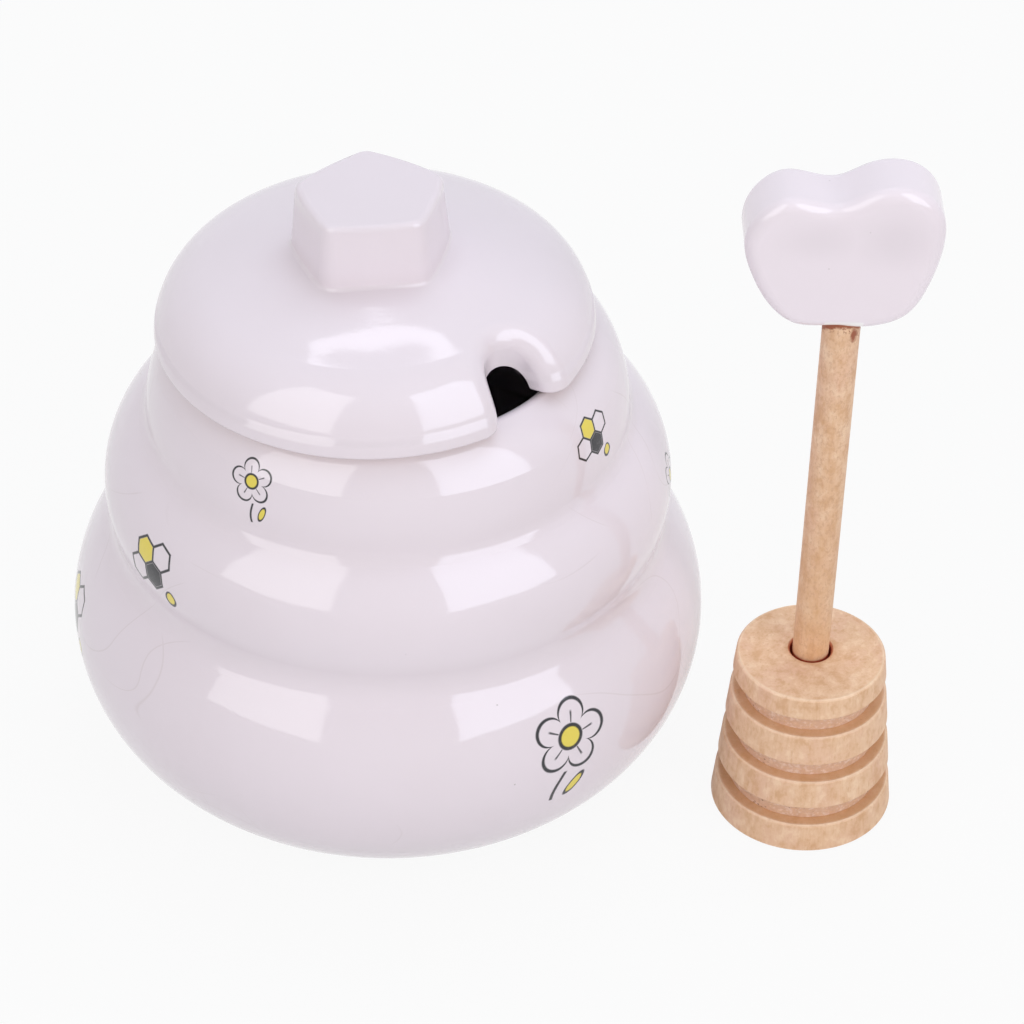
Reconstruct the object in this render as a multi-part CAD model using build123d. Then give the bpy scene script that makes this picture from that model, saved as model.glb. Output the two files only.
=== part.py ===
"""Beehive honey pot with a loose notched lid and a wooden honey dipper.

Millimetres, +Z up. The pot's axis is the Z axis and its foot stands on Z = 0.
The lid's dipper notch faces between +X and -Y. Every piece is one solid in one STEP.
"""

import os
from math import atan2, cos, hypot, pi, radians, sin, sqrt, tan

from build123d import *

UPWARD = (Align.CENTER, Align.CENTER, Align.MIN)

# ---- pot: three bulging rings with soft valleys, all circles in the half section ---
POT_D = 110.0  # widest diameter, at the lowest ring
S = POT_D / 110.0  # the pot and its lid keep their proportions
LOW_RING = (28.2 * S, 26.6 * S, 26.8 * S)  # centre radius, centre height, circle radius
MID_RING = (31.5 * S, 54.8 * S, 17.1 * S)
MOUTH_R = 30.3 * S
LIP_INSET = 3.3 * S  # the top ring's centre radius lies this far inside the mouth's wall
TOP_RING = (MOUTH_R - LIP_INSET, 74.3 * S, 13.1 * S)
FLANK_R = 23.5 * S  # the top ring curves less on its lower part
FLANK_START = 24.8  # degrees, how far up the glaze faces where that part starts
LOW_VALLEY_R = 6.6 * S  # between the low ring and the middle one
TOP_VALLEY_R = 3.3 * S
WALL = 4.6  # even wall of a slip-cast pot
FOOT_EDGE = 0.5  # height of the small step at the foot
FOOT_W = 4.5  # width of the ring that the pot stands on
FOOT_RECESS = 1.0
FOOT_INSET = 0.4  # the foot stands this far inside the step
RECESS_RUN = 0.8  # the recess's edge slopes over this width
LIP_ROUND = 1.5

# ---- lid ------------------------------------------------------------------------
LID_OVERHANG = 6.7 * S  # the rim reaches this far outside the mouth's wall
LID_R = MOUTH_R + LID_OVERHANG
SHOULDER_R = 12.2 * S  # radius of the rounded shoulder
SHOULDER_DROP = 0.4 * S  # how far its centre lies below the rim's underside
CROWN_SLOPE = 14.0  # degrees, the shallow cone inside the shoulder
LID_WALL = 4.7  # at the rim
CEILING_DROP = 1.3 * S  # makes the wall thicker toward the crown
RIM_ROUND = 0.6 * S
FLANGE_PLAY = 2.9  # radial gap between the flange and the mouth
FLANGE_W = 2.6
FLANGE_DROP = 3.5  # below the rim's underside
FLANGE_ROUND = 0.8
FLANGE_CLEAR = 5.0  # it stops this far short of the notch on both sides
LID_SHIFT = 2.2  # how far the loose lid has slid to -X within that play
LID_TIP = 1.6  # degrees, its +X side stands higher
LID_START = 2.5  # the lid is lowered from this height above the lip until it rests
SEAT_GAP = 0.03
CAST_ROOT = 2.0  # knob and flange reach this deep into the dome's wall

# ---- knob, cast with the lid: a five-sided prism with slightly bulging sides --------
KNOB_FRONT = 7.8 * S  # half the width of the front face at the top
KNOB_SIDE = 12.3 * S  # half the widest width at the top
KNOB_FRONT_Y = -9.6 * S
KNOB_SIDE_Y = 3.9 * S
KNOB_APEX_Y = 12.6 * S
KNOB_BULGE = 0.6 * S
KNOB_TOP = 26.7 * S  # above the rim's underside
KNOB_TAPER = 5.5  # degrees
KNOB_TURN = 4.0  # degrees about the axis
KNOB_CORNER = 2.6
KNOB_EDGE = 1.1
KNOB_FOOT = 0.8

# ---- dipper -----------------------------------------------------------------------
DIPPER_GAP = 5.06  # from the pot's widest ring to the dipper's head
DIPPER_AZ = -16.9  # degrees from +X about the pot's axis
STICK_D = 6.2
STICK_BACK = 1.0  # the stick enters the head this far behind its middle
STICK_LEAN = 0.55  # degrees toward +X, it was glued in a little off upright
STICK_TIP = 0.4  # degrees toward -Y
STICK_IN_HEAD = 24.0
STICK_IN_HANDLE = 13.0
STICK_BREAK = 0.4  # chamfer at both ends
BORE_PLAY = 0.1  # radial, in the two glued bores
HEAD_D = 31.2  # at the bottom
HEAD_TOP_D = 25.5
RIB_HEIGHTS = (5.6, 5.6, 5.9, 4.2)  # from the bottom up
GROOVE_H = 3.7
GROOVE_DEPTH = 2.3
HEAD_EDGE = 0.35
HEAD_HOLE_D = STICK_D + 1.0  # loose mouth of the bore
HEAD_HOLE_DEPTH = 5.0
HOLE_BREAK = 0.3  # chamfer at its edge

# ---- handle: a hand-shaped glazed heart, one lobe higher than the other -------------
HANDLE_LOW = 105.1  # height of its heel, which sets the dipper's length
HANDLE_W = 31.6
HANDLE_H = 26.9
HANDLE_T = 11.2
HANDLE_EDGE = 2.2

# ---- dipper notch in the lid ------------------------------------------------------
NOTCH_AZ = -45.8  # degrees from +X about the lid's axis
NOTCH_W = STICK_D + 3.4
NOTCH_REACH = 2.3 * S  # the notch reaches this far inside the mouth's wall
NOTCH_END = MOUTH_R - NOTCH_REACH
NOTCH_FLARE = 20.0  # degrees, the side toward the dipper opens out to the rim
NOTCH_ROLL = 3.7 * S  # the glaze-softened edge between the dome and the notch


def outer_meet(a, b):
    """Outer crossing of two ring circles, each (centre r, centre z, radius)."""
    (ra, za, qa), (rb, zb, qb) = a, b
    d = hypot(rb - ra, zb - za)
    along = (qa**2 - qb**2 + d**2) / (2 * d)
    across = sqrt(qa**2 - along**2)
    ur, uz = (rb - ra) / d, (zb - za) / d
    return ra + ur * along + uz * across, za + uz * along - ur * across


def on_circle(circle, toward):
    """Point on the circle in the direction of another point."""
    r, z, q = circle
    angle = atan2(toward[1] - z, toward[0] - r)
    return r + q * cos(angle), z + q * sin(angle)


def arc_mid(circle, p, q):
    """Middle of the shorter arc from p to q."""
    r, z, own = circle
    a = atan2(p[1] - z, p[0] - r)
    b = atan2(q[1] - z, q[0] - r)
    turn = (b - a + pi) % (2 * pi) - pi
    return r + own * cos(a + turn / 2), z + own * sin(a + turn / 2)


def bulge(circle, p, q):
    return ThreePointArc(p, arc_mid(circle, p, q), q)


def turned(*edges):
    """Solid of revolution about Z from edges drawn as (radius, height)."""
    face = make_face([Plane.XZ * edge for edge in edges])
    return revolve(face, Axis.Z)


def touching(lower, upper, radius):
    """Circle that touches two ring circles from outside, in the valley between them."""
    grown = [(r, z, q + radius) for r, z, q in (lower, upper)]
    return (*outer_meet(*grown), radius)


def bulging_side(p, q, rise):
    """Arc from p to q whose middle stands out by rise, p to q counterclockwise."""
    dx, dy = q[0] - p[0], q[1] - p[1]
    length = hypot(dx, dy)
    mid = ((p[0] + q[0]) / 2 + rise * dy / length, (p[1] + q[1]) / 2 - rise * dx / length)
    return ThreePointArc(p, mid, q)


def settle(piece, seat, gap):
    """Lower a piece that starts above its seat until only the gap is left."""
    for _ in range(12):
        left = piece.distance_to(seat) - gap
        if left < 0.004:
            break
        piece = Pos(0, 0, -left) * piece
    return piece


# ---- pot body ---------------------------------------------------------------------
flank_shift = TOP_RING[2] - FLANK_R
flank_facing = radians(FLANK_START)
FLANK = (
    TOP_RING[0] + flank_shift * cos(flank_facing),
    TOP_RING[1] + flank_shift * sin(flank_facing),
    FLANK_R,
)
LOW_VALLEY = touching(LOW_RING, MID_RING, LOW_VALLEY_R)
TOP_VALLEY = touching(MID_RING, FLANK, TOP_VALLEY_R)


def wall_side(depth, low_end, high_end):
    """Arcs of the wall's surface, at a depth below its outside, from the low end to the high one."""
    low, mid, flank, top = [(r, z, q - depth) for r, z, q in (LOW_RING, MID_RING, FLANK, TOP_RING)]
    low_valley, top_valley = [(r, z, q + depth) for r, z, q in (LOW_VALLEY, TOP_VALLEY)]
    circles = (low, low_valley, mid, top_valley, flank, top)
    joints = (
        low_end,
        on_circle(low, low_valley),
        on_circle(mid, low_valley),
        on_circle(mid, top_valley),
        on_circle(flank, top_valley),
        on_circle(flank, top),
        high_end,
    )
    return [bulge(circle, p, q) for circle, p, q in zip(circles, joints, joints[1:])]


foot_r = LOW_RING[0] + sqrt(LOW_RING[2] ** 2 - (LOW_RING[1] - FOOT_EDGE) ** 2)
foot_out = (foot_r - FOOT_INSET, 0.0)
foot_in = (foot_out[0] - FOOT_W, 0.0)
foot_top = (foot_in[0] - RECESS_RUN, FOOT_RECESS)

# The lip's rounding touches the mouth's wall and the top ring from inside.
lip_r = MOUTH_R + LIP_ROUND
lip_z = TOP_RING[1] + sqrt((TOP_RING[2] - LIP_ROUND) ** 2 - (lip_r - TOP_RING[0]) ** 2)
lip_circle = (lip_r, lip_z, LIP_ROUND)
lip_out = on_circle(TOP_RING, (lip_r, lip_z))
lip_in = (MOUTH_R, lip_z)
LIP_TOP = lip_z + LIP_ROUND

neck_z = TOP_RING[1] + sqrt((TOP_RING[2] - WALL) ** 2 - (MOUTH_R - TOP_RING[0]) ** 2)
neck = (MOUTH_R, neck_z)
floor_z = LOW_RING[1] - LOW_RING[2] + WALL
floor_edge = (LOW_RING[0], floor_z)

pot_body = turned(
    Line((0, FOOT_RECESS), foot_top),
    Line(foot_top, foot_in),
    Line(foot_in, foot_out),
    Line(foot_out, (foot_r, FOOT_EDGE)),
    *wall_side(0, (foot_r, FOOT_EDGE), lip_out),
    bulge(lip_circle, lip_out, (lip_r, LIP_TOP)),
    bulge(lip_circle, (lip_r, LIP_TOP), lip_in),
    Line(lip_in, neck),
    *reversed(wall_side(WALL, floor_edge, neck)),
    Line(floor_edge, (0, floor_z)),
    Line((0, floor_z), (0, FOOT_RECESS)),
)

# ---- lid, in its own frame: Z = 0 is the rim's underside, the notch faces +X --------
slope = radians(CROWN_SLOPE)
shoulder = (LID_R - SHOULDER_R, -SHOULDER_DROP, SHOULDER_R)
crown = (shoulder[0] + SHOULDER_R * sin(slope), shoulder[1] + SHOULDER_R * cos(slope))
crown_top = crown[1] + crown[0] * tan(slope)
rim_side = (LID_R, -SHOULDER_DROP)

hollow = (shoulder[0], -SHOULDER_DROP - CEILING_DROP, SHOULDER_R - LID_WALL)
ceiling_high = (hollow[0] + hollow[2] * sin(slope), hollow[1] + hollow[2] * cos(slope))
ceiling_top = ceiling_high[1] + ceiling_high[0] * tan(slope)
seat_in = (hollow[0] + sqrt(hollow[2] ** 2 - hollow[1] ** 2), 0.0)

BLANK_LOW = -30.0  # the lid is cut out of a blank that reaches this far down
dome = turned(
    Line((0, BLANK_LOW), (LID_R, BLANK_LOW)),
    Line((LID_R, BLANK_LOW), rim_side),
    bulge(shoulder, rim_side, crown),
    Line(crown, (0, crown_top)),
    Line((0, crown_top), (0, BLANK_LOW)),
)

knob_points = [
    (-KNOB_FRONT, KNOB_FRONT_Y),
    (KNOB_FRONT, KNOB_FRONT_Y),
    (KNOB_SIDE, KNOB_SIDE_Y),
    (0, KNOB_APEX_Y),
    (-KNOB_SIDE, KNOB_SIDE_Y),
]
knob_root = crown_top - CAST_ROOT - KNOB_SIDE * tan(slope)
sides = zip(knob_points, knob_points[1:] + knob_points[:1])
knob_face = make_face([bulging_side(p, q, KNOB_BULGE) for p, q in sides])
knob_face = fillet(knob_face.vertices(), KNOB_CORNER)
knob = extrude(knob_face, amount=KNOB_TOP - knob_root, taper=-KNOB_TAPER)
knob = Pos(0, 0, KNOB_TOP) * Rot(180, 0, 0) * mirror(knob, Plane.XZ)
knob = fillet(knob.edges().group_by(Axis.Z)[-1], KNOB_EDGE)
knob = Rot(0, 0, KNOB_TURN - NOTCH_AZ) * knob

dome += knob
knob_foot = [
    e
    for e in dome.edges()
    if crown[1] < e.center().Z < crown_top and e.bounding_box().size.Z < CAST_ROOT
]
dome = fillet(knob_foot, KNOB_FOOT)

# The notch is a slot with a round end whose +Y side flares toward the rim.
notch_r = NOTCH_W / 2
notch_c = NOTCH_END + notch_r
flare = radians(NOTCH_FLARE)
far = LID_R
notch_plan = Pos(notch_c, 0) * Circle(notch_r)
notch_plan += make_face(
    Polyline(
        (notch_c, -notch_r),
        (notch_c + far, -notch_r),
        (notch_c + far, notch_r / cos(flare) + far * tan(flare)),
        (notch_c - notch_r * sin(flare), notch_r * cos(flare)),
        close=True,
    )
)
dome -= Pos(0, 0, BLANK_LOW) * extrude(notch_plan, KNOB_TOP - BLANK_LOW)


def on_notch(edge):
    """True for the notch's outline on the dome and down the blank's side."""
    ends = (edge @ 0.1, edge @ 0.9)
    half = notch_r + LID_R * tan(flare) / 2
    in_plan = all(p.X > NOTCH_END - 0.1 and abs(p.Y) < half for p in ends)
    upright = hypot(ends[0].X - ends[1].X, ends[0].Y - ends[1].Y) < 0.01
    seam = upright and hypot(ends[0].X, ends[0].Y) < LID_R - 0.1
    return in_plan and (edge @ 0.5).Z > BLANK_LOW + 0.1 and not seam


dome = fillet([e for e in dome.edges() if on_notch(e)], NOTCH_ROLL)

outside = 1.2 * LID_R
below = turned(
    Line((0, BLANK_LOW - 1), (outside, BLANK_LOW - 1)),
    Line((outside, BLANK_LOW - 1), (outside, 0)),
    Line((outside, 0), seat_in),
    bulge(hollow, seat_in, ceiling_high),
    Line(ceiling_high, (0, ceiling_top)),
    Line((0, ceiling_top), (0, BLANK_LOW - 1)),
)
cap = dome - below
seat = cap.faces().filter_by(Plane.XY).sort_by(Axis.Z)[0]
rim_edges = [e for e in seat.edges() if abs(hypot((e @ 0.5).X, (e @ 0.5).Y) - seat_in[0]) > 0.01]
cap = fillet(rim_edges, RIM_ROUND)

flange_out = MOUTH_R - FLANGE_PLAY
flange_in = flange_out - FLANGE_W
flange_h = FLANGE_DROP + ceiling_top - flange_out * tan(slope) + CAST_ROOT
flange = Cylinder(flange_out, flange_h, align=UPWARD)
flange -= Cylinder(flange_in, flange_h, align=UPWARD)
flange = fillet(flange.edges().group_by(Axis.Z)[0], FLANGE_ROUND)
flange = Pos(0, 0, -FLANGE_DROP) * flange
gap_w = NOTCH_W + 2 * FLANGE_CLEAR
flange -= Pos(flange_out, 0, 0) * Box(flange_out, gap_w, 4 * flange_h)
lid = Rot(0, 0, NOTCH_AZ) * (cap + flange)
lid = Pos(-LID_SHIFT, 0, LIP_TOP + LID_START) * Rot(0, -LID_TIP, 0) * lid
lid = settle(lid, pot_body, SEAT_GAP)

# ---- dipper, made on its own axis and then stood beside the pot ---------------------
HEAD_H = sum(RIB_HEIGHTS) + GROOVE_H * (len(RIB_HEIGHTS) - 1)


def head_r(z):
    return (HEAD_D + (HEAD_TOP_D - HEAD_D) * z / HEAD_H) / 2


outline = [(0, 0)]
low = 0
for rib_h in RIB_HEIGHTS:
    if low > 0:
        floor_r = head_r(low) - GROOVE_DEPTH
        outline += [(head_r(low - GROOVE_H) - GROOVE_DEPTH, low - GROOVE_H), (floor_r, low)]
    high = low + rib_h
    outline += [
        (head_r(low) - HEAD_EDGE, low),
        (head_r(low), low + HEAD_EDGE),
        (head_r(high), high - HEAD_EDGE),
        (head_r(high) - HEAD_EDGE, high),
    ]
    low = high + GROOVE_H
outline += [(0, HEAD_H)]
head = turned(*[Line(p, q) for p, q in zip(outline, outline[1:] + outline[:1])])
hole = [
    (0, 0),
    (0, -HEAD_HOLE_DEPTH),
    (HEAD_HOLE_D / 2, -HEAD_HOLE_DEPTH),
    (HEAD_HOLE_D / 2, -HOLE_BREAK),
    (HEAD_HOLE_D / 2 + HOLE_BREAK, 0),
]
head_hole = turned(*[Line(p, q) for p, q in zip(hole, hole[1:] + hole[:1])])
head -= Pos(0, STICK_BACK, HEAD_H) * head_hole

# The stick and the handle share one axis, which leans about the head's mouth.
lean = Pos(0, STICK_BACK, HEAD_H) * Rot(STICK_TIP, STICK_LEAN, 0) * Pos(0, 0, -HEAD_H)
stick_low = HEAD_H - STICK_IN_HEAD
stick_h = HANDLE_LOW + STICK_IN_HANDLE - stick_low
stick = Cylinder(STICK_D / 2, stick_h, align=UPWARD)
stick = chamfer(stick.edges().filter_by(GeomType.CIRCLE), STICK_BREAK)
stick = Pos(0, 0, stick_low) * stick
head_bore = Pos(0, 0, stick_low) * Cylinder(STICK_D / 2 + BORE_PLAY, STICK_IN_HEAD, align=UPWARD)
head -= lean * head_bore

# The heart's outline from the middle of its heel, as fractions of its width and height.
heart = [
    (0.0, 0.0),
    (0.16, 0.005),
    (0.305, 0.083),
    (0.403, 0.288),
    (0.455, 0.538),
    (0.442, 0.807),
    (0.338, 0.958),
    (0.195, 1.0),
    (0.052, 0.955),
    (-0.081, 0.88),
    (-0.205, 0.898),
    (-0.334, 0.92),
    (-0.474, 0.814),
    (-0.539, 0.602),
    (-0.494, 0.371),
    (-0.396, 0.152),
    (-0.253, 0.013),
]
heart_edge = Spline([(x * HANDLE_W, z * HANDLE_H) for x, z in heart], periodic=True)
heart_face = make_face([Plane.XZ * heart_edge])
handle = extrude(Pos(0, HANDLE_T / 2, 0) * heart_face, HANDLE_T)
front, back = handle.faces().filter_by(Plane.XZ)
handle = fillet(front.edges() + back.edges(), HANDLE_EDGE)
handle = Pos(0, 0, HANDLE_LOW) * handle
handle -= Cylinder(STICK_D / 2 + BORE_PLAY, HANDLE_LOW + STICK_IN_HANDLE, align=UPWARD)
stick = lean * stick
handle = lean * handle

dipper_out = POT_D / 2 + DIPPER_GAP + HEAD_D / 2
beside = Pos(dipper_out * cos(radians(DIPPER_AZ)), dipper_out * sin(radians(DIPPER_AZ)), 0)
pieces = {
    "pot_body": pot_body,
    "lid": lid,
    "dipper_handle": beside * handle,
    "dipper_stick": beside * stick,
    "dipper_head": beside * head,
}

os.makedirs("parts", exist_ok=True)
for name, shape in pieces.items():
    export_step(shape, f"parts/{name}.step")
    print(f"{name}: {len(shape.solids())} solid, {shape.volume:.0f} mm3")
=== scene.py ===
"""Finishes for a beehive honey pot with a loose lid and a wooden dipper.

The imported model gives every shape. This file glazes the pot, its lid and the dipper's handle, prints the
pot's decals, gives the dipper's stick and head their wood, and sets up the floor, the lamps and the camera.
Lengths in the settings are metres; shader maths runs in millimetres.
"""

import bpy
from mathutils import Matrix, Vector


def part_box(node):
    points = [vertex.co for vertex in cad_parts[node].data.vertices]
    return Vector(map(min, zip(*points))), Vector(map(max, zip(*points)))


bl_info = {
    "name": "Honey Pot Finishes",
    "version": (1, 0, 0),
    "blender": (4, 5, 0),
    "location": "View3D > Sidebar > Honey Pot",
    "description": "Glaze, decals and turned wood for a honey pot with a dipper",
    "category": "Material",
}

from math import ceil, cos, pi, radians, sin

import bpy
from bpy.props import FloatProperty, FloatVectorProperty, PointerProperty
from mathutils import Vector

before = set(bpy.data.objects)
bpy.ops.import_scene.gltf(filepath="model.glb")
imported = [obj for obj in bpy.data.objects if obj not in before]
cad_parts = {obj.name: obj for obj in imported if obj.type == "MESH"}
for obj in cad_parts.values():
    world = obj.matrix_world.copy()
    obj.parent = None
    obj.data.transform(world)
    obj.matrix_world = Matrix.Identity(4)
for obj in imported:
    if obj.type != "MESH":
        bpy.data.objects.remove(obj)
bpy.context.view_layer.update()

# The glaze's outline from the foot up, as arcs in the half section: centre radius, centre height and circle
# in mm, the directions from the centre where the arc starts and ends in degrees, and 1 where it bulges out
# or -1 where it bends in, with its directions then taken from the circle's far side.
OUTLINE = (
    (28.2, 26.6, 26.8, -76.9, 39.1, 1),
    (54.11, 47.68, 6.6, 39.1, -17.5, -1),
    (31.5, 54.8, 17.1, -17.5, 51.0, 1),
    (44.35, 70.64, 3.3, 51.0, 1.5, -1),
    (17.56, 69.94, 23.5, 1.5, 24.8, 1),
    (27.0, 74.3, 13.1, 24.8, 65.6, 1),
)
WALL = 4.6  # thickness of the pot's wall, in mm
WALL_STEP = 20.0  # degrees between the points that stand for the wall's middle
WALL_SPAN = 100.0  # mm that the colour ramp of the wall's middle stands for
# Painted shade darkens the glaze round these valleys.
VALLEYS = ((47.5, 48.6), (41.0, 70.4))  # radius and height where two rings meet, in mm
LID_ORIGIN = (-2.2, 0.0, 86.33)  # middle of the lid's rim plane, in mm
LID_TIP = 1.6  # degrees that the lid is tipped about +Y, its +X side up
HEAD_LOW, HEAD_HIGH = [corner * 1000.0 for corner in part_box("dipper_head")]  # in mm
HEAD_MIDDLE = (HEAD_LOW + HEAD_HIGH) / 2.0
RIBS = ((0.0, 5.6), (9.3, 14.9), (18.6, 24.5), (28.2, 32.4))  # the head's ribs, low and high, in mm
HEAD_FOOT = 15.6  # radius of the head at its foot, in mm
HEAD_TOP = 12.75  # radius at its top, in mm
HEAD_TAPER = (HEAD_FOOT - HEAD_TOP) / RIBS[-1][1]  # how fast the radius falls with height
HEAD_BORE_BACK = 1.0  # the stick enters the head this far behind its middle, in mm
HANDLE_HEEL = (72.75, 105.0)  # middle and height of the handle's heel, in mm
# Painted shade on the handle's faces, in two soft patches: middle x and z in mm, flattening, depth.
HANDLE_DIP_SHADES = ((67.8, 122.8, 1.7, 0.8), (80.0, 122.8, 1.2, 1.0))

GLAZE_IOR = 1.52
WOOD_IOR = 1.45
WHITE = (1.0, 1.0, 1.0, 1.0)
SPECK = (0.32, 0.28, 0.27, 1.0)  # pinholes in the glaze
HANDLE_GLAZE = (0.90, 0.81, 0.875, 1.0)
HANDLE_SHADE = (0.62, 0.555, 0.60, 1.0)
HEEL_WHITE = (0.95, 0.92, 0.92, 1.0)  # a whiter band at the handle's heel, just above the stick
PALE_WOOD = (0.90, 0.66, 0.47, 1.0)
# Painted highlight along the ribs' outer edges.
EDGE_HIGHLIGHT = (0.92, 0.73, 0.55, 1.0)
LEDGE = (0.66, 0.37, 0.18, 1.0)  # the ribs' flat tops inside the grooves
BURR = (0.88, 0.70, 0.62, 1.0)
PIT = (0.30, 0.15, 0.09, 1.0)
# Painted shade on the wall of the head's bore.
BORE_SHADE = (0.50, 0.08, 0.04, 1.0)
SINGE = (0.62, 0.33, 0.16, 1.0)
STICK_FOOT = (0.66, 0.38, 0.19, 1.0)  # the stick's warmer lower half
BLOTCH = (0.58, 0.32, 0.18, 1.0)
PORE = (0.56, 0.30, 0.18, 1.0)
STAIN = (0.27, 0.05, 0.012, 1.0)
SUNK_SHADE = (0.55, 0.08, 0.03, 1.0)  # painted shade on the stick inside the head's bore
JOINT_WHITE = (0.80, 0.76, 0.76, 1.0)

FLOOR_SIZE = 30.0  # metres
FLOOR_GLOW = 0.92  # share of plain white in the floor as the camera sees it
LAMP_AIM = Vector((0.02, 0.0, 0.05))
# Soft lamps: name, azimuth, elevation, distance, width, height.
SOFT_LAMPS = (
    ("left", -46.0, 22.0, 0.72, 0.40, 0.42),
    ("right", 46.0, 22.0, 0.72, 0.40, 0.42),
    ("front", 4.0, 4.0, 0.90, 0.50, 0.30),
    ("ceiling", 160.0, 68.0, 0.85, 0.70, 0.40),
)
CEILING_TINT = (0.92, 1.04, 1.16)
# Windows that stand upright: name, azimuth, share of the panes' brightness, tint.
WINDOWS = (
    ("left window", -43.0, 1.0, (1.0, 1.0, 1.0)),
    ("right window", 44.0, 1.3, (0.93, 1.0, 1.15)),
)
WINDOW_DISTANCE = 2.0
WINDOW_LEVEL = 2.37  # height of a window's middle
WINDOW_SIZE = (1.55, 4.06)
STRIP_PLACE = (-0.024, 0.241, 0.748)
STRIP_AIM = (-0.008, -0.021, 0.099)
STRIP_SIZE = (0.33, 0.055)
STRIP_TINT = (0.97, 0.97, 1.08)
CAMERA_SENSOR = 36.0
CAMERA_LENS = 154.7
CAMERA_SHIFT = 0.1211  # share of the frame's width, to the right
CAMERA_AIM = 0.04523  # height that the camera turns about
CAMERA_CLIP = 0.01

# Decals: kind (0 blossom, 1 comb), degrees round the pot from the front, distance up the glaze from the
# foot in mm, size, turn in degrees.
DECALS = (
    (0, -34.0, 91.5, 0.90, 14.0),
    (1, 60.0, 92.0, 0.85, -12.0),
    (0, 150.0, 92.0, 0.78, 6.0),
    (1, -127.0, 92.5, 0.70, 18.0),
    (1, -54.0, 68.5, 1.10, 12.0),
    (0, 84.0, 68.0, 0.90, -16.0),
    (0, -158.0, 68.0, 0.95, 10.0),
    (1, 132.0, 68.5, 0.90, -8.0),
    (0, 34.0, 41.5, 1.60, -12.0),
    (1, -82.0, 40.0, 1.25, 10.0),
    (1, 104.0, 39.0, 1.30, -10.0),
    (0, 172.0, 41.0, 1.35, 14.0),
    (0, -124.0, 40.0, 1.30, -6.0),
)
MOTIF_REACH = 9.5  # mm from a motif's middle that hold all of it, at size 1
MOTIF_BLUR = 0.09  # mm over which a printed line fades
CELL_SIDE = 2.35  # mm, side of a honeycomb cell
CELL_HALF = CELL_SIDE * 0.5 * 3**0.5  # mm, from a cell's middle to its side


class Value:
    """An output socket of a finish, with arithmetic that adds Math nodes."""

    def __init__(self, finish, output):
        self.finish = finish
        self.output = output

    def __add__(self, other):
        return self.finish.math("ADD", self, other)

    __radd__ = __add__

    def __sub__(self, other):
        return self.finish.math("SUBTRACT", self, other)

    def __rsub__(self, other):
        return self.finish.math("SUBTRACT", other, self)

    def __mul__(self, other):
        return self.finish.math("MULTIPLY", self, other)

    __rmul__ = __mul__

    def __truediv__(self, other):
        return self.finish.math("DIVIDE", self, other)

    def __neg__(self):
        return self.finish.math("MULTIPLY", self, -1.0)

    def __abs__(self):
        return self.finish.math("ABSOLUTE", self)

    def __pow__(self, other):
        return self.finish.math("POWER", self, other)


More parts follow.
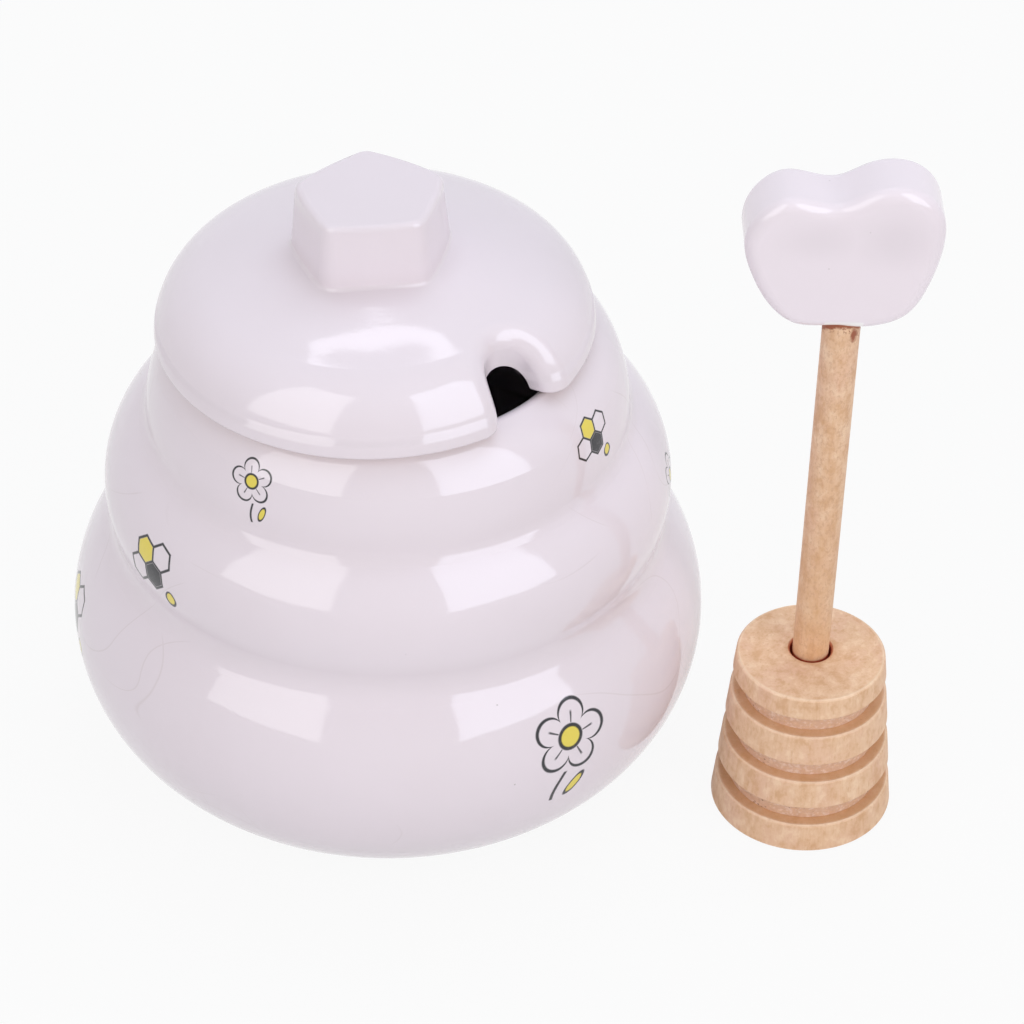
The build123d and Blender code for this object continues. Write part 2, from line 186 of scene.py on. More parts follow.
class Finish:
    """A material or world under construction, with short calls for the nodes its maths needs."""

    def __init__(self, holder):
        holder.use_nodes = True
        self.holder = holder
        self.tree = holder.node_tree
        self.tree.nodes.clear()

    def add(self, kind, settings=None, values=None):
        """A new node from its type, its settings, and the values or links of its input sockets."""
        node = self.tree.nodes.new("ShaderNode" + kind)
        for name, setting in (settings or {}).items():
            if name == "stops":
                ramp = node.color_ramp
                ramp.elements[0].position, ramp.elements[0].color = setting[0]
                ramp.elements[1].position, ramp.elements[1].color = setting[-1]
                for position, colour in setting[1:-1]:
                    ramp.elements.new(position).color = colour
            else:
                setattr(node, name, setting)
        for key, value in (values or {}).items():
            if isinstance(value, Value):
                self.tree.links.new(value.output, node.inputs[key])
            else:
                node.inputs[key].default_value = value
        return node

    def out(self, node, key=0):
        return Value(self, node.outputs[key])

    def math(self, operation, *values):
        return self.out(self.add("Math", {"operation": operation}, dict(enumerate(values))))

    def least(self, a, b):
        return self.math("MINIMUM", a, b)

    def most(self, a, b):
        return self.math("MAXIMUM", a, b)

    def keep(self, value, low, high):
        """The value held between low and high."""
        return self.most(self.least(value, high), low)

    def length(self, a, b):
        return self.math("SQRT", a * a + b * b)

    def ease(self, value, start, end):
        """0 before start and 1 after end, with a soft step between; start may be the larger."""
        return self.out(
            self.add(
                "MapRange",
                {"interpolation_type": "SMOOTHSTEP"},
                {"Value": value, "From Min": start, "From Max": end},
            )
        )

    def line(self, distance, half, blur):
        """1 within half of zero distance, fading out over blur."""
        return self.ease(abs(distance), half + blur, half - blur)

    def place(self, offset=(0.0, 0.0, 0.0), turn=(0.0, 0.0, 0.0), stretch=(1.0, 1.0, 1.0)):
        """Object coordinates in mm, measured from offset, then turned and stretched."""
        coordinates = self.add("TexCoord")
        scaled = self.add(
            "VectorMath", {"operation": "SCALE"}, {0: self.out(coordinates, "Object"), "Scale": 1000.0}
        )
        moved = self.add("VectorMath", {"operation": "SUBTRACT"}, {0: self.out(scaled), 1: offset})
        mapped = self.add(
            "Mapping", None, {"Vector": self.out(moved), "Rotation": turn, "Scale": stretch}
        )
        return self.out(mapped)

    def split(self, vector):
        node = self.add("SeparateXYZ", None, {0: vector})
        return self.out(node, 0), self.out(node, 1), self.out(node, 2)

    def noise(self, vector, scale, detail=2.0, roughness=0.5):
        node = self.add(
            "TexNoise",
            None,
            {"Vector": vector, "Scale": scale, "Detail": detail, "Roughness": roughness},
        )
        return self.out(node, 0)

    def cells(self, vector, scale, randomness=1.0):
        """Distance to the nearest cell's middle, and a random value of that cell."""
        node = self.add(
            "TexVoronoi", None, {"Vector": vector, "Scale": scale, "Randomness": randomness}
        )
        red = self.add("SeparateColor", None, {0: self.out(node, "Color")})
        return self.out(node, "Distance"), self.out(red, 0)

    def blend(self, a, b, factor):
        """Colour a where factor is 0 and colour b where it is 1."""
        node = self.add(
            "Mix", {"data_type": "RGBA", "clamp_factor": True}, {0: factor, 6: a, 7: b}
        )
        return self.out(node, 2)

    def seen(self):
        """1 for what the camera sees, straight or in gloss, and 0 for light that falls on surfaces."""
        path = self.add("LightPath")
        return self.most(self.out(path, "Is Camera Ray"), self.out(path, "Is Glossy Ray"))

    def bump(self, height, strength, distance):
        """Raises the surface; distance is in metres."""
        values = {"Height": height, "Strength": strength, "Distance": distance}
        return self.out(self.add("Bump", None, values))

    def finish(self, colour, roughness, normal, **constants):
        """Ends the material in a Principled shader; constants are set on its own sockets."""
        values = {"Base Color": colour, "Roughness": roughness, "Normal": normal}
        values.update({key.replace("_", " "): value for key, value in constants.items()})
        shader = self.add("BsdfPrincipled", None, values)
        self.add("OutputMaterial", None, {"Surface": self.out(shader)})
        return self.holder


class GlazeSettings(bpy.types.PropertyGroup):
    """White glaze on the pot, the lid and the handle."""

    colour: FloatVectorProperty(
        name="Glaze",
        description="Colour of the glaze",
        subtype="COLOR",
        size=4,
        min=0.0,
        max=1.0,
        default=(0.800, 0.718, 0.777, 1.0),
    )
    # Darker glaze: random patches, hair lines and a ring round the lid knob's foot, and painted shade in the
    # pot's valleys.
    shade: FloatVectorProperty(
        name="Darker glaze and painted shade",
        description="Colour of darker glaze patches and hair lines, and of the painted shade in the valleys",
        subtype="COLOR",
        size=4,
        min=0.0,
        max=1.0,
        default=(0.69, 0.605, 0.635, 1.0),
    )
    clay: FloatVectorProperty(
        name="Bare clay",
        description="Colour of the unglazed foot and seat",
        subtype="COLOR",
        size=4,
        min=0.0,
        max=1.0,
        default=(0.70, 0.62, 0.52, 1.0),
    )
    gloss: FloatProperty(
        name="Roughness",
        description="Roughness of the glaze",
        subtype="FACTOR",
        min=0.0,
        max=1.0,
        default=0.07,
    )


class DecalSettings(bpy.types.PropertyGroup):
    """Small printed decals fired on the pot."""

    ink: FloatVectorProperty(
        name="Ink",
        description="Colour of the decals' lines",
        subtype="COLOR",
        size=4,
        min=0.0,
        max=1.0,
        default=(0.008, 0.009, 0.014, 1.0),
    )
    honey: FloatVectorProperty(
        name="Honey",
        description="Colour that fills the decals",
        subtype="COLOR",
        size=4,
        min=0.0,
        max=1.0,
        default=(0.80, 0.65, 0.06, 1.0),
    )
    stroke: FloatProperty(
        name="Stroke",
        description="Half the width of a printed line",
        unit="LENGTH",
        default=0.00021,
    )


class WoodSettings(bpy.types.PropertyGroup):
    """Bare turned beech of the dipper's stick and head."""

    light: FloatVectorProperty(
        name="Beech",
        description="Colour of the clean wood",
        subtype="COLOR",
        size=4,
        min=0.0,
        max=1.0,
        default=(0.80, 0.53, 0.345, 1.0),
    )
    dark: FloatVectorProperty(
        name="Grain",
        description="Colour of the grain lines and flecks",
        subtype="COLOR",
        size=4,
        min=0.0,
        max=1.0,
        default=(0.62, 0.335, 0.165, 1.0),
    )
    blush: FloatVectorProperty(
        name="Blush",
        description="Colour of the pinker patches",
        subtype="COLOR",
        size=4,
        min=0.0,
        max=1.0,
        default=(0.77, 0.475, 0.345, 1.0),
    )
    torn: FloatVectorProperty(
        name="Torn grain",
        description="Colour of the rough floors of the head's grooves",
        subtype="COLOR",
        size=4,
        min=0.0,
        max=1.0,
        default=(0.66, 0.41, 0.29, 1.0),
    )


class StageSettings(bpy.types.PropertyGroup):
    """Floor, lamps and camera."""

    floor: FloatVectorProperty(
        name="Floor",
        description="Colour of the floor",
        subtype="COLOR",
        size=4,
        min=0.0,
        max=1.0,
        default=(0.60, 0.60, 0.60, 1.0),
    )
    left: FloatProperty(
        name="Left lamp",
        description="Power of the soft lamp at the front left",
        unit="POWER",
        default=1.0,
    )
    right: FloatProperty(
        name="Right lamp",
        description="Power of the soft lamp at the front right",
        unit="POWER",
        default=1.25,
    )
    front: FloatProperty(
        name="Front lamp",
        description="Power of the soft lamp straight in front",
        unit="POWER",
        default=0.72,
    )
    ceiling: FloatProperty(
        name="Ceiling lamp",
        description="Power of the soft lamp above",
        unit="POWER",
        default=2.1,
    )
    pane: FloatProperty(
        name="Window panes",
        description="Brightness of the two tall windows that show in the gloss",
        default=2.1,
    )
    strip: FloatProperty(
        name="Strip",
        description="Brightness of the narrow strip that shows in the lid's gloss",
        default=3.2,
    )
    room: FloatProperty(
        name="Room light",
        description="Strength of the even light from all round",
        default=0.60,
    )
    distance: FloatProperty(
        name="Camera distance",
        description="From the camera to the pot's middle",
        unit="LENGTH",
        default=0.76176,
    )
    pitch: FloatProperty(
        name="Camera pitch",
        description="How far the camera looks down",
        subtype="ANGLE",
        default=radians(39.53),
    )


def settings():
    return bpy.context.scene.honey_pot


def new_finish(name):
    """An empty material to build."""
    return Finish(bpy.data.materials.new(name))


def dress(node, material):
    """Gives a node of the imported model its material."""
    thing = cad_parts[node]
    if not thing.material_slots:
        raise RuntimeError(node + " has no material slot")
    for slot in thing.material_slots:
        slot.material = material


def hair_lines(f):
    """1 on fine wandering dark hair lines in the glaze."""
    hairs = 0.0
    for offset in (0.0, 130.0, 270.0, 390.0):
        around = f.place((offset, offset, 0.0), stretch=(0.7, 0.7, 1.3))
        hair = f.line(f.noise(around, 0.021, 1.0) - 0.5, 0.0007, 0.0014)
        hairs = f.most(hairs, hair * f.ease(f.noise(around, 0.05, 1.0), 0.49, 0.57))
    return hairs


def glaze_surface(f, place, tint, hairs=0.0, relief=0.0):
    """Colour, roughness and normal of white glaze.

    Tint is 0 on open glaze and 1 where it darkens fully, as painted shade in the pot's valleys; hairs is 1 on
    fine hair lines, and relief is a height in mm.
    """
    look = settings().glaze
    broad = f.noise(place, 0.045, 2.0)
    patches = f.ease(broad, 0.35, 0.75)
    # Tint darkens the glaze: painted shade in the pot's valleys, a darker ring at the lid knob's foot.
    colour = f.blend(tuple(look.colour), tuple(look.shade), patches * 0.10 + tint * 0.5)
    distance, chance = f.cells(place, 0.33)
    speck = f.ease(distance, 0.07, 0.03) * f.ease(chance, 0.955, 0.965)
    colour = f.blend(colour, SPECK, speck * 0.55)
    colour = f.blend(colour, tuple(look.shade), hairs)
    roughness = f.noise(place, 0.12, 3.0) * 0.05 + (look.gloss - 0.025)
    ripple = f.noise(place, 0.055, 1.0) * 0.35 + f.noise(place, 0.9, 2.0) * 0.007
    normal = f.bump(ripple + relief, 1.0, 0.001)
    return colour, roughness, normal


def comb_motif(f, a, b):
    """Four honeycomb cells and a drop, in mm about the motif's middle: ink and honey masks."""
    stroke = settings().decals.stroke * 1000.0
    ink, honey, filled = 0.0, 0.0, 0.0
    for column, row, fill in ((-0.5, 0.5, 1), (0.5, 0.5, 0), (0.0, -0.5, 2), (-1.0, -0.5, 0)):
        u = abs(a - column * 2.0 * CELL_HALF)
        v = abs(b - row * CELL_SIDE * 1.5)
        edge = f.most(u, u * 0.5 + v * (0.5 * 3**0.5)) - CELL_HALF
        ink = f.most(ink, f.line(edge, stroke, MOTIF_BLUR))
        inside = f.ease(edge, -0.12, -0.3)
        if fill == 1:
            honey = f.most(honey, inside)
        if fill == 2:
            filled = f.most(filled, inside)
    drop = f.length(a - 3.6, (b + 4.2) * 0.75) - f.ease(b, -2.4, -5.2) * 0.95 - 0.28
    ink = f.most(ink, f.line(drop, stroke * 0.9, MOTIF_BLUR))
    honey = f.most(honey, f.ease(drop, -0.05, -0.2))
    return f.most(ink, filled), honey


def blossom_motif(f, a, b):
    """A five-petalled blossom with a short stalk, in mm about its middle: ink and honey masks."""
    stroke = settings().decals.stroke * 1000.0
    b = b - 0.9
    turn = f.math("ARCTAN2", a, b)
    reach = f.length(a, b)
    lobe = abs(f.math("COSINE", turn * 2.5)) ** 0.6
    petals = reach - (lobe * 2.0 + 2.3)
    ink = f.line(petals, stroke, MOTIF_BLUR)
    middle = reach - 1.35
    ink = f.most(ink, f.line(middle, stroke, MOTIF_BLUR))
    honey = f.ease(middle, 0.0, -0.15)
    vein = f.ease(abs(f.math("SINE", turn * 2.5)), 0.16, 0.07)
    ink = f.most(ink, vein * f.ease(reach, 1.5, 1.7) * f.ease(reach, 3.1, 2.7) * 0.9)
    stalk = a - f.math("SINE", (b + 4.2) * 0.5) * 0.9
    along = f.ease(b, -4.1, -4.3) * f.ease(b, -8.2, -8.0)
    ink = f.most(ink, f.line(stalk, stroke, MOTIF_BLUR) * along)
    leaf = f.length((a - 1.6 - (b + 6.2) * 0.5) * 1.9, (b + 6.2) * 0.9) - 1.2
    ink = f.most(ink, f.line(leaf, stroke, 0.12))
    honey = f.most(honey, f.ease(leaf, -0.05, -0.2))
    return ink, honey


def girth(along):
    """The glaze's distance from the pot's axis at a distance up the glaze from the foot, in mm."""
    for centre, _, circle, start, end, bulge in OUTLINE:
        sweep = radians(abs(end - start)) * circle
        if along <= sweep:
            return centre + bulge * circle * cos(radians(start) + bulge * along / circle)
        along -= sweep
    raise ValueError("no glaze at this distance")


def glaze_height(f, out, z):
    """Distance up the glaze from the foot, in mm, at a distance from the axis and a height."""
    along = 0.0
    for centre, level, circle, start, end, bulge in OUTLINE:
        low, high = sorted((radians(start), radians(end)))
        facing = f.math("ARCTAN2", (z - level) * bulge, (out - centre) * bulge)
        along = abs(f.keep(facing, low, high) - radians(start)) * circle + along
    return along


def wall_middle():
    """Points up the middle of the pot's wall to below its lip, each height and radius in mm."""
    points = []
    for centre, level, circle, start, end, bulge in OUTLINE:
        middle = circle - bulge * WALL / 2.0
        steps = ceil(abs(end - start) / WALL_STEP)
        for step in range(steps):
            angle = radians(start + (end - start) * step / steps)
            points.append((level + bulge * middle * sin(angle), centre + bulge * middle * cos(angle)))
    return points


def decal_masks(f):
    """Ink and honey masks of every decal on the pot's outside."""
    x, y, z = f.split(f.place())
    out = f.length(x, y)
    round_pot = f.math("ARCTAN2", x, -y)
    along = glaze_height(f, out, z)
    stops = [(level / WALL_SPAN, (radius / WALL_SPAN,) * 3 + (1.0,)) for level, radius in wall_middle()]
    wall = f.out(f.add("ValToRGB", {"stops": stops}, {0: z / WALL_SPAN}))
    outside = f.math("GREATER_THAN", out / WALL_SPAN, wall)
    across = {0: 0.0, 1: 0.0}
    up = {0: 0.0, 1: 0.0}
    shown = {0: 0.0, 1: 0.0}
    for kind, azimuth, above, size, turn in DECALS:
        angle = f.math("WRAP", round_pot - radians(azimuth), pi, -pi)
        u = angle * (girth(above) / size)
        v = (along - above) * (1.0 / size)
        a = u * cos(radians(turn)) + v * sin(radians(turn))
        b = v * cos(radians(turn)) - u * sin(radians(turn))
        here = f.math("LESS_THAN", f.length(u, v), MOTIF_REACH) * outside
        across[kind] = across[kind] + a * here
        up[kind] = up[kind] + b * here
        shown[kind] = f.most(shown[kind], here)
    ink, honey = 0.0, 0.0
    for kind, motif in ((0, blossom_motif), (1, comb_motif)):
        lines, fill = motif(f, across[kind], up[kind])
        ink = f.most(ink, lines * shown[kind])
        honey = f.most(honey, fill * shown[kind])
    return ink, honey


class HONEYPOT_OT_glaze_pot(bpy.types.Operator):
    """Glazes the pot, prints its decals and leaves its foot bare"""

    bl_idname = "honeypot.glaze_pot"
    bl_label = "Glaze the Pot"

    def execute(self, context):
        look = settings()
        f = new_finish("pot glaze")
        place = f.place()
        x, y, z = f.split(place)
        out = f.length(x, y)
        # Painted shade: the glaze darkens towards the valleys between the rings, where shade falls.
        painted_valley_shade = 0.0
        for radius, level in VALLEYS:
            painted_valley_shade = f.most(painted_valley_shade, f.ease(f.length(out - radius, z - level), 5.0, 1.0))
        # The dark hair lines show at the pot's sides and low down.
        hair_spread = f.most(f.ease(abs(x), 22.0, 36.0), f.ease(z, 26.0, 16.0) * 0.8)
        hairs = hair_lines(f) * hair_spread * 0.75
        colour, roughness, normal = glaze_surface(f, place, painted_valley_shade * 0.25, hairs)
        ink, honey = decal_masks(f)
        wear = f.ease(f.noise(place, 1.6, 3.0), 0.30, 0.42)
        colour = f.blend(colour, tuple(look.decals.honey), honey * 0.95)
        colour = f.blend(colour, tuple(look.decals.ink), ink * (wear * 0.05 + 0.93))
        foot = f.ease(z, 0.55, 0.25) * f.ease(out, 37.0, 37.6)
        colour = f.blend(colour, tuple(look.glaze.clay), foot)
        roughness = f.most(roughness, foot * 0.75)
        dress("pot_body", f.finish(colour, roughness, normal, IOR=GLAZE_IOR))
        return {"FINISHED"}


class HONEYPOT_OT_glaze_lid(bpy.types.Operator):
    """Glazes the lid and leaves the narrow seat under its rim bare"""

    bl_idname = "honeypot.glaze_lid"
    bl_label = "Glaze the Lid"

    def execute(self, context):
        look = settings()
        f = new_finish("lid glaze")
        place = f.place()
        level = f.place(LID_ORIGIN, (0.0, radians(LID_TIP), 0.0))
        x, y, z = f.split(level)
        out = f.length(x, y)
        foot_of_knob = f.ease(abs(out - 12.5), 4.0, 0.5) * f.ease(z, 13.0, 14.0) * f.ease(z, 19.0, 16.0)
        shoulder = f.ease(out, 19.0, 33.0) * f.ease(z, 2.0, 4.0) * -0.49
        colour, roughness, normal = glaze_surface(f, place, foot_of_knob * 0.35, relief=shoulder)
        seat = f.ease(abs(z), 0.16, 0.08) * f.ease(out, 31.8, 32.4)
        colour = f.blend(colour, tuple(look.glaze.clay), seat)
        roughness = f.most(roughness, seat * 0.75)
        dress("lid", f.finish(colour, roughness, normal, IOR=GLAZE_IOR))
        return {"FINISHED"}


class HONEYPOT_OT_glaze_handle(bpy.types.Operator):
    """Glazes the dipper's heart-shaped handle"""

    bl_idname = "honeypot.glaze_handle"
    bl_label = "Glaze the Handle"

    def execute(self, context):
        f = new_finish("handle glaze")
        place = f.place()
        x, y, z = f.split(place)
        # Painted shade: the handle's faces darken in two soft patches.
        painted_dip_shade = 0.0
        for middle, level, flat, depth in HANDLE_DIP_SHADES:
            reach = f.length(x - middle, (z - level) * flat)
            painted_dip_shade = f.most(painted_dip_shade, f.ease(reach, 9.0, 0.5) * depth)
        colour, roughness, normal = glaze_surface(f, place, 0.0)
        colour = f.blend(colour, HANDLE_GLAZE, 0.5)
        colour = f.blend(colour, HANDLE_SHADE, painted_dip_shade * 0.27)
        middle, level = HANDLE_HEEL
        heel = f.ease(abs(x - middle), 3.3, 2.9) * f.ease(z, level + 2.0, level + 1.4)
        colour = f.blend(colour, HEEL_WHITE, heel * 0.9)
        dress("dipper_handle", f.finish(colour, roughness, normal, IOR=GLAZE_IOR))
        return {"FINISHED"}


def beech(f, pith):
    """Colour and height of turned beech whose rings are centred on pith, in mm from the dipper's axis."""
    look = settings().wood
    place = f.place((HEAD_MIDDLE.x, HEAD_MIDDLE.y, 0.0))
    x, y, z = f.split(place)
    drift = f.noise(f.place(stretch=(1.0, 1.0, 0.12)), 0.11, 2.0)
    rings = f.length(x - pith[0], y - pith[1]) + drift * 5.0
    band = f.math("FRACT", rings * 0.36)
    late = f.ease(band, 0.35, 0.92) * f.ease(band, 1.0, 0.94)
    grain = f.noise(f.place(stretch=(1.0, 1.0, 0.06)), 2.6, 3.0, 0.6)
    distance, chance = f.cells(f.place(stretch=(1.0, 1.0, 0.22)), 1.35)
    fleck = f.ease(distance, 0.30, 0.14) * f.ease(chance, 0.72, 0.80)
    tone = f.noise(place, 0.07, 2.0)
    warmth = late * 0.14 + f.ease(grain, 0.42, 0.72) * 0.22 + (tone - 0.5) * 0.5
    colour = f.blend(tuple(look.light), tuple(look.dark), warmth)
    blush = f.ease(f.noise(f.place(stretch=(1.0, 1.0, 0.5)), 0.16, 3.0, 0.6), 0.42, 0.68)
    colour = f.blend(colour, tuple(look.blush), blush * 0.45)
    mottle = f.noise(f.place((40.0, 0.0, 0.0), stretch=(1.0, 1.0, 0.7)), 0.45, 4.0, 0.65)
    colour = f.blend(colour, tuple(look.dark), f.ease(mottle, 0.47, 0.68) * 0.62)
    colour = f.blend(colour, PALE_WOOD, f.ease(mottle, 0.48, 0.32) * 0.6)
    colour = f.blend(colour, tuple(look.dark), fleck * 0.35)
    height = grain * 0.6 - fleck * 0.4 - late * 0.15
    return colour, height, (x, y, z)


class HONEYPOT_OT_turn_head(bpy.types.Operator):
    """Gives the dipper's head its turned beech, with torn grain in the grooves"""

    bl_idname = "honeypot.turn_head"
    bl_label = "Finish the Head"

    def execute(self, context):
        look = settings().wood
        f = new_finish("head beech")
        colour, height, (x, y, z) = beech(f, (46.0, -31.0))
        inside = HEAD_FOOT - z * HEAD_TAPER - f.length(x, y)
        rim, ledge, groove = 0.0, 0.0, 0.0
        # Painted highlight: a lighter line along each rib's lower and upper outer edge.
        for low, high in RIBS:
            for edge in (low, high):
                rim = f.most(rim, f.line(z - edge, 0.12, 0.25) * f.ease(inside, 0.75, 0.3))
        for (_, low), (high, _) in zip(RIBS, RIBS[1:]):
            ledge = f.most(ledge, f.line(z - low, 0.05, 0.05) * f.ease(inside, 0.35, 0.9))
            groove = f.most(groove, f.ease(z, low + 0.02, low + 0.06) * f.ease(z, high + 0.02, high - 0.02))
        floor = groove * f.ease(inside, 1.9, 2.15)
        colour = f.blend(colour, EDGE_HIGHLIGHT, rim * 0.55)
        colour = f.blend(colour, LEDGE, ledge * 0.55)
        rough = f.noise(f.place(stretch=(1.0, 1.0, 2.2)), 1.1, 4.0, 0.7)
        colour = f.blend(colour, tuple(look.torn), floor * f.ease(rough, 0.25, 0.55) * 0.8)
        fibre = f.noise(f.place((9.0, 0.0, 0.0), stretch=(1.0, 1.0, 1.3)), 1.3, 3.0)
        burr = floor * f.ease(fibre, 0.50, 0.68)
        colour = f.blend(colour, BURR, burr * 0.5)
        distance, chance = f.cells(f.place(stretch=(1.0, 1.0, 1.6)), 1.4)
        clumps = f.ease(f.noise(f.place(), 0.16, 1.0), 0.50, 0.60)
        pit = floor * f.ease(distance, 0.34, 0.16) * f.ease(chance, 0.45, 0.55) * clumps
        colour = f.blend(colour, PIT, pit * 0.75)
        from_bore = f.length(x, y - HEAD_BORE_BACK)
        # Painted shade: the bore's wall is darker and redder below the head's top.
        painted_bore_shade = f.ease(from_bore, 4.0, 3.75) * f.ease(z, 20.0, 22.0)
        colour = f.blend(colour, BORE_SHADE, painted_bore_shade * 0.9)
        singe = f.ease(from_bore, 5.2, 3.9) * f.ease(z, 32.0, 32.3)
        colour = f.blend(colour, SINGE, singe * 0.4)
        height = height + floor * (rough * 1.6 - pit * 1.5)
        normal = f.bump(height, 0.8, 0.00012)
        roughness = f.noise(f.place(), 0.5, 2.0) * 0.12 + 0.5
        dress("dipper_head", f.finish(colour, roughness, normal, IOR=WOOD_IOR))
        return {"FINISHED"}


class HONEYPOT_OT_turn_stick(bpy.types.Operator):
    """Gives the dipper's stick its beech, with a stain and a whiter band where the handle joins"""

    bl_idname = "honeypot.turn_stick"
    bl_label = "Finish the Stick"

    def execute(self, context):
        f = new_finish("stick beech")
        colour, height, (x, y, z) = beech(f, (-30.0, 22.0))
        colour = f.blend(colour, STICK_FOOT, f.ease(z, 85.0, 30.0) * 0.4)
        blotch = f.noise(f.place(stretch=(1.0, 1.0, 0.45)), 0.42, 3.0, 0.6)
        colour = f.blend(colour, BLOTCH, f.ease(blotch, 0.52, 0.78) * 0.25)
        pores = f.noise(f.place((0.0, 30.0, 0.0), stretch=(1.0, 1.0, 0.6)), 2.0, 3.0, 0.7)
        colour = f.blend(colour, PORE, f.ease(pores, 0.48, 0.66) * 0.45)
        # The stain runs round the stick on a slope, from the handle's front edge down toward the back.
        ragged = f.noise(f.place((0.0, 0.0, 9.0)), 1.1, 3.0)
        level = z + (y + 2.6) * 0.82
        joint = f.ease(level + ragged * 1.5, 104.1, 104.7)
        drip = f.ease(f.length(x - 2.5, (z - 101.9) * 0.5) + ragged * 1.1, 1.45, 0.85)
        speckle = f.ease(pores, 0.50, 0.62) * f.ease(level + x * 0.3, 102.0, 103.6) * 0.7
        stain = f.most(f.most(joint, drip), speckle) * f.ease(y, 2.0, 0.5)
        colour = f.blend(colour, STAIN, stain * 0.9)
        # Painted shade: the stick is darker and redder where it sits inside the head's bore.
        colour = f.blend(colour, SUNK_SHADE, f.ease(z, 32.2, 31.9) * 0.95)
        # A whiter band at the stick's top, where the handle joins.
        joint_white = f.ease(z + f.noise(f.place(), 0.7, 2.0) * 0.8, 105.0, 105.2)
        colour = f.blend(colour, JOINT_WHITE, joint_white * 0.9)
        normal = f.bump(height, 0.7, 0.0001)
        roughness = f.noise(f.place(), 0.5, 2.0) * 0.12 + 0.46
        dress("dipper_stick", f.finish(colour, roughness, normal, IOR=WOOD_IOR))
        return {"FINISHED"}


def lamp(name, place, aim, width, height, power):
    """A rectangular lamp at a place that faces another."""
    data = bpy.data.lights.new(name, "AREA")
    data.shape = "RECTANGLE"
    data.size = width
    data.size_y = height
    data.energy = power
    holder = bpy.data.objects.new(name, data)
    bpy.context.scene.collection.objects.link(holder)
    holder.location = place
    holder.rotation_euler = (aim - place).to_track_quat("-Z", "Y").to_euler()
    return holder


def soft_lamp(name, azimuth, elevation, distance, width, height, power):
    """A lamp that lights the surfaces and doesn't show in gloss; azimuth 0 is the front and 90 is +X."""
    az, el = radians(azimuth), radians(elevation)
    place = LAMP_AIM + distance * Vector((sin(az) * cos(el), -cos(az) * cos(el), sin(el)))
    holder = lamp(name, place, LAMP_AIM, width, height, power)
    holder.visible_glossy = False
    return holder


def gloss_lamp(name, place, aim, width, height, brightness, tint):
    """A lamp that shows in gloss at a brightness, where white is 1, and doesn't light the surfaces."""
    holder = lamp(name, Vector(place), Vector(aim), width, height, brightness * pi * width * height)
    holder.data.color = tint
    holder.visible_diffuse = False


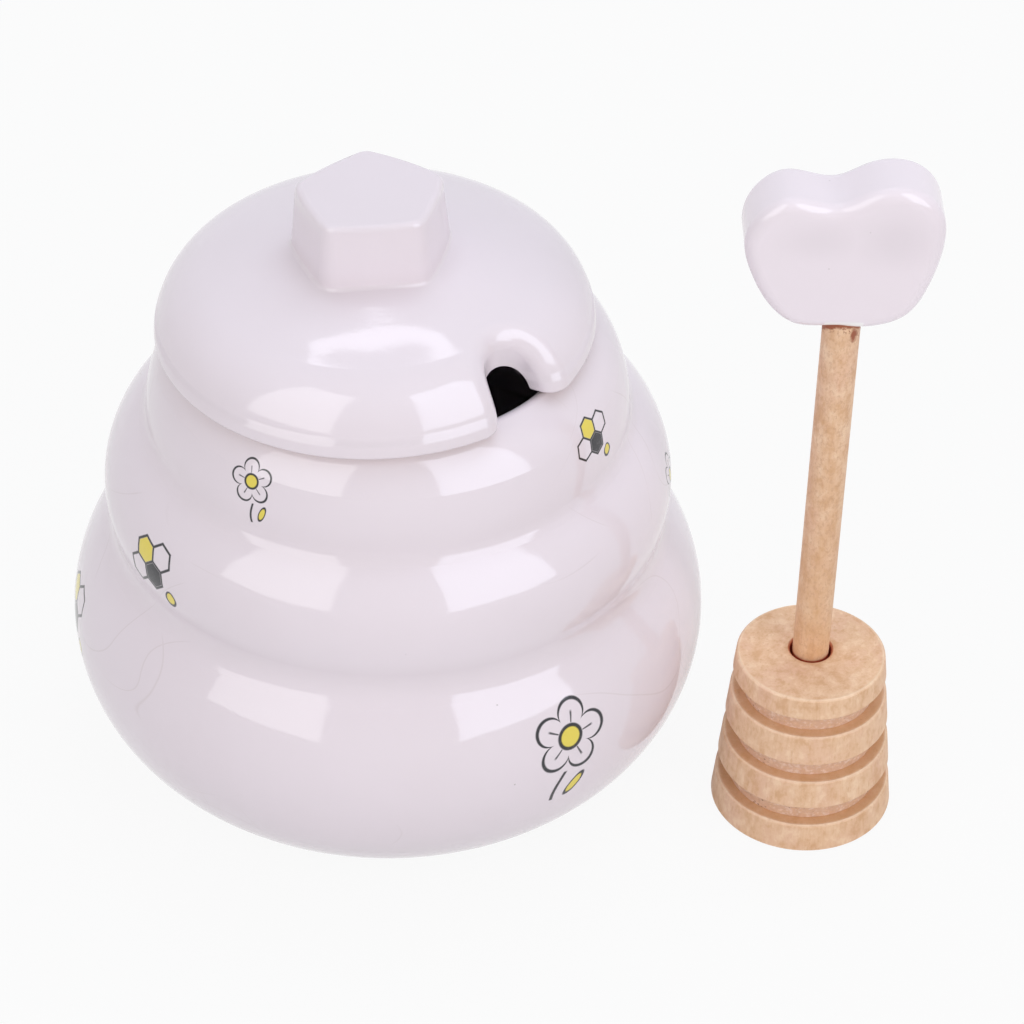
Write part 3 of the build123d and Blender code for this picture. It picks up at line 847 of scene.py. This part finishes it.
class HONEYPOT_OT_stage(bpy.types.Operator):
    """Lays the floor and sets the lamps, the room light and the camera"""

    bl_idname = "honeypot.stage"
    bl_label = "Set the Stage"

    def execute(self, context):
        look = settings().stage
        bpy.ops.mesh.primitive_plane_add(size=FLOOR_SIZE, location=(0.0, 0.0, 0.0))
        floor = bpy.context.object
        floor.name = "floor"
        f = new_finish("floor")
        matt = f.add("BsdfDiffuse", None, {"Color": tuple(look.floor)})
        glow = f.add("Emission", None, {"Color": WHITE, "Strength": 1.0})
        mixed = f.add("MixShader", None, {0: f.seen() * FLOOR_GLOW, 1: f.out(matt), 2: f.out(glow)})
        f.add("OutputMaterial", None, {"Surface": f.out(mixed)})
        floor.data.materials.append(f.holder)

        for name, azimuth, elevation, distance, width, height in SOFT_LAMPS:
            power = getattr(look, name)
            holder = soft_lamp(name, azimuth, elevation, distance, width, height, power)
            if name == "ceiling":
                holder.data.color = CEILING_TINT
        for name, azimuth, share, tint in WINDOWS:
            az = radians(azimuth)
            place = (WINDOW_DISTANCE * sin(az), -WINDOW_DISTANCE * cos(az), WINDOW_LEVEL)
            gloss_lamp(name, place, (0.0, 0.0, WINDOW_LEVEL), *WINDOW_SIZE, look.pane * share, tint)
        gloss_lamp("strip", STRIP_PLACE, STRIP_AIM, *STRIP_SIZE, look.strip, STRIP_TINT)

        world = bpy.data.worlds.new("room")
        context.scene.world = world
        f = Finish(world)
        strength = f.seen() * (1.0 - look.room) + look.room
        background = f.add("Background", None, {"Color": WHITE, "Strength": strength})
        f.add("OutputWorld", None, {"Surface": f.out(background)})

        data = bpy.data.cameras.new("camera")
        data.sensor_width = CAMERA_SENSOR
        data.lens = CAMERA_LENS
        data.shift_x = CAMERA_SHIFT
        data.clip_start = CAMERA_CLIP
        camera = bpy.data.objects.new("camera", data)
        context.scene.collection.objects.link(camera)
        camera.location = (
            0.0,
            -look.distance * cos(look.pitch),
            CAMERA_AIM + look.distance * sin(look.pitch),
        )
        camera.rotation_euler = (pi / 2 - look.pitch, 0.0, 0.0)
        context.scene.camera = camera
        context.scene.view_settings.view_transform = "Standard"
        return {"FINISHED"}


class HoneyPotSettings(bpy.types.PropertyGroup):
    """All settings of the honey pot."""

    glaze: PointerProperty(type=GlazeSettings, name="Glaze", description="White glaze")
    decals: PointerProperty(type=DecalSettings, name="Decals", description="Printed decals")
    wood: PointerProperty(type=WoodSettings, name="Wood", description="Turned beech")
    stage: PointerProperty(type=StageSettings, name="Stage", description="Floor, lamps and camera")


OPERATORS = (
    HONEYPOT_OT_glaze_pot,
    HONEYPOT_OT_glaze_lid,
    HONEYPOT_OT_glaze_handle,
    HONEYPOT_OT_turn_head,
    HONEYPOT_OT_turn_stick,
    HONEYPOT_OT_stage,
)


class HONEYPOT_PT_panel(bpy.types.Panel):
    """Lists the honey pot's steps and settings"""

    bl_idname = "HONEYPOT_PT_panel"
    bl_label = "Honey Pot"
    bl_space_type = "VIEW_3D"
    bl_region_type = "UI"
    bl_category = "Honey Pot"

    def draw(self, context):
        for operator in OPERATORS:
            self.layout.operator(operator.bl_idname)
        look = settings()
        for group in (look.glaze, look.decals, look.wood, look.stage):
            column = self.layout.column(align=True)
            for name in group.bl_rna.properties.keys():
                if name not in ("rna_type", "name"):
                    column.prop(group, name)


CLASSES = (
    GlazeSettings,
    DecalSettings,
    WoodSettings,
    StageSettings,
    HoneyPotSettings,
    *OPERATORS,
    HONEYPOT_PT_panel,
)


def register():
    for entry in CLASSES:
        bpy.utils.register_class(entry)
    bpy.types.Scene.honey_pot = PointerProperty(
        type=HoneyPotSettings, name="Honey pot", description="Settings of the honey pot"
    )


def unregister():
    del bpy.types.Scene.honey_pot
    for entry in reversed(CLASSES):
        bpy.utils.unregister_class(entry)


def main():
    register()
    bpy.ops.honeypot.glaze_pot()
    bpy.ops.honeypot.glaze_lid()
    bpy.ops.honeypot.glaze_handle()
    bpy.ops.honeypot.turn_head()
    bpy.ops.honeypot.turn_stick()
    bpy.ops.honeypot.stage()


if __name__ == "__main__":
    main()
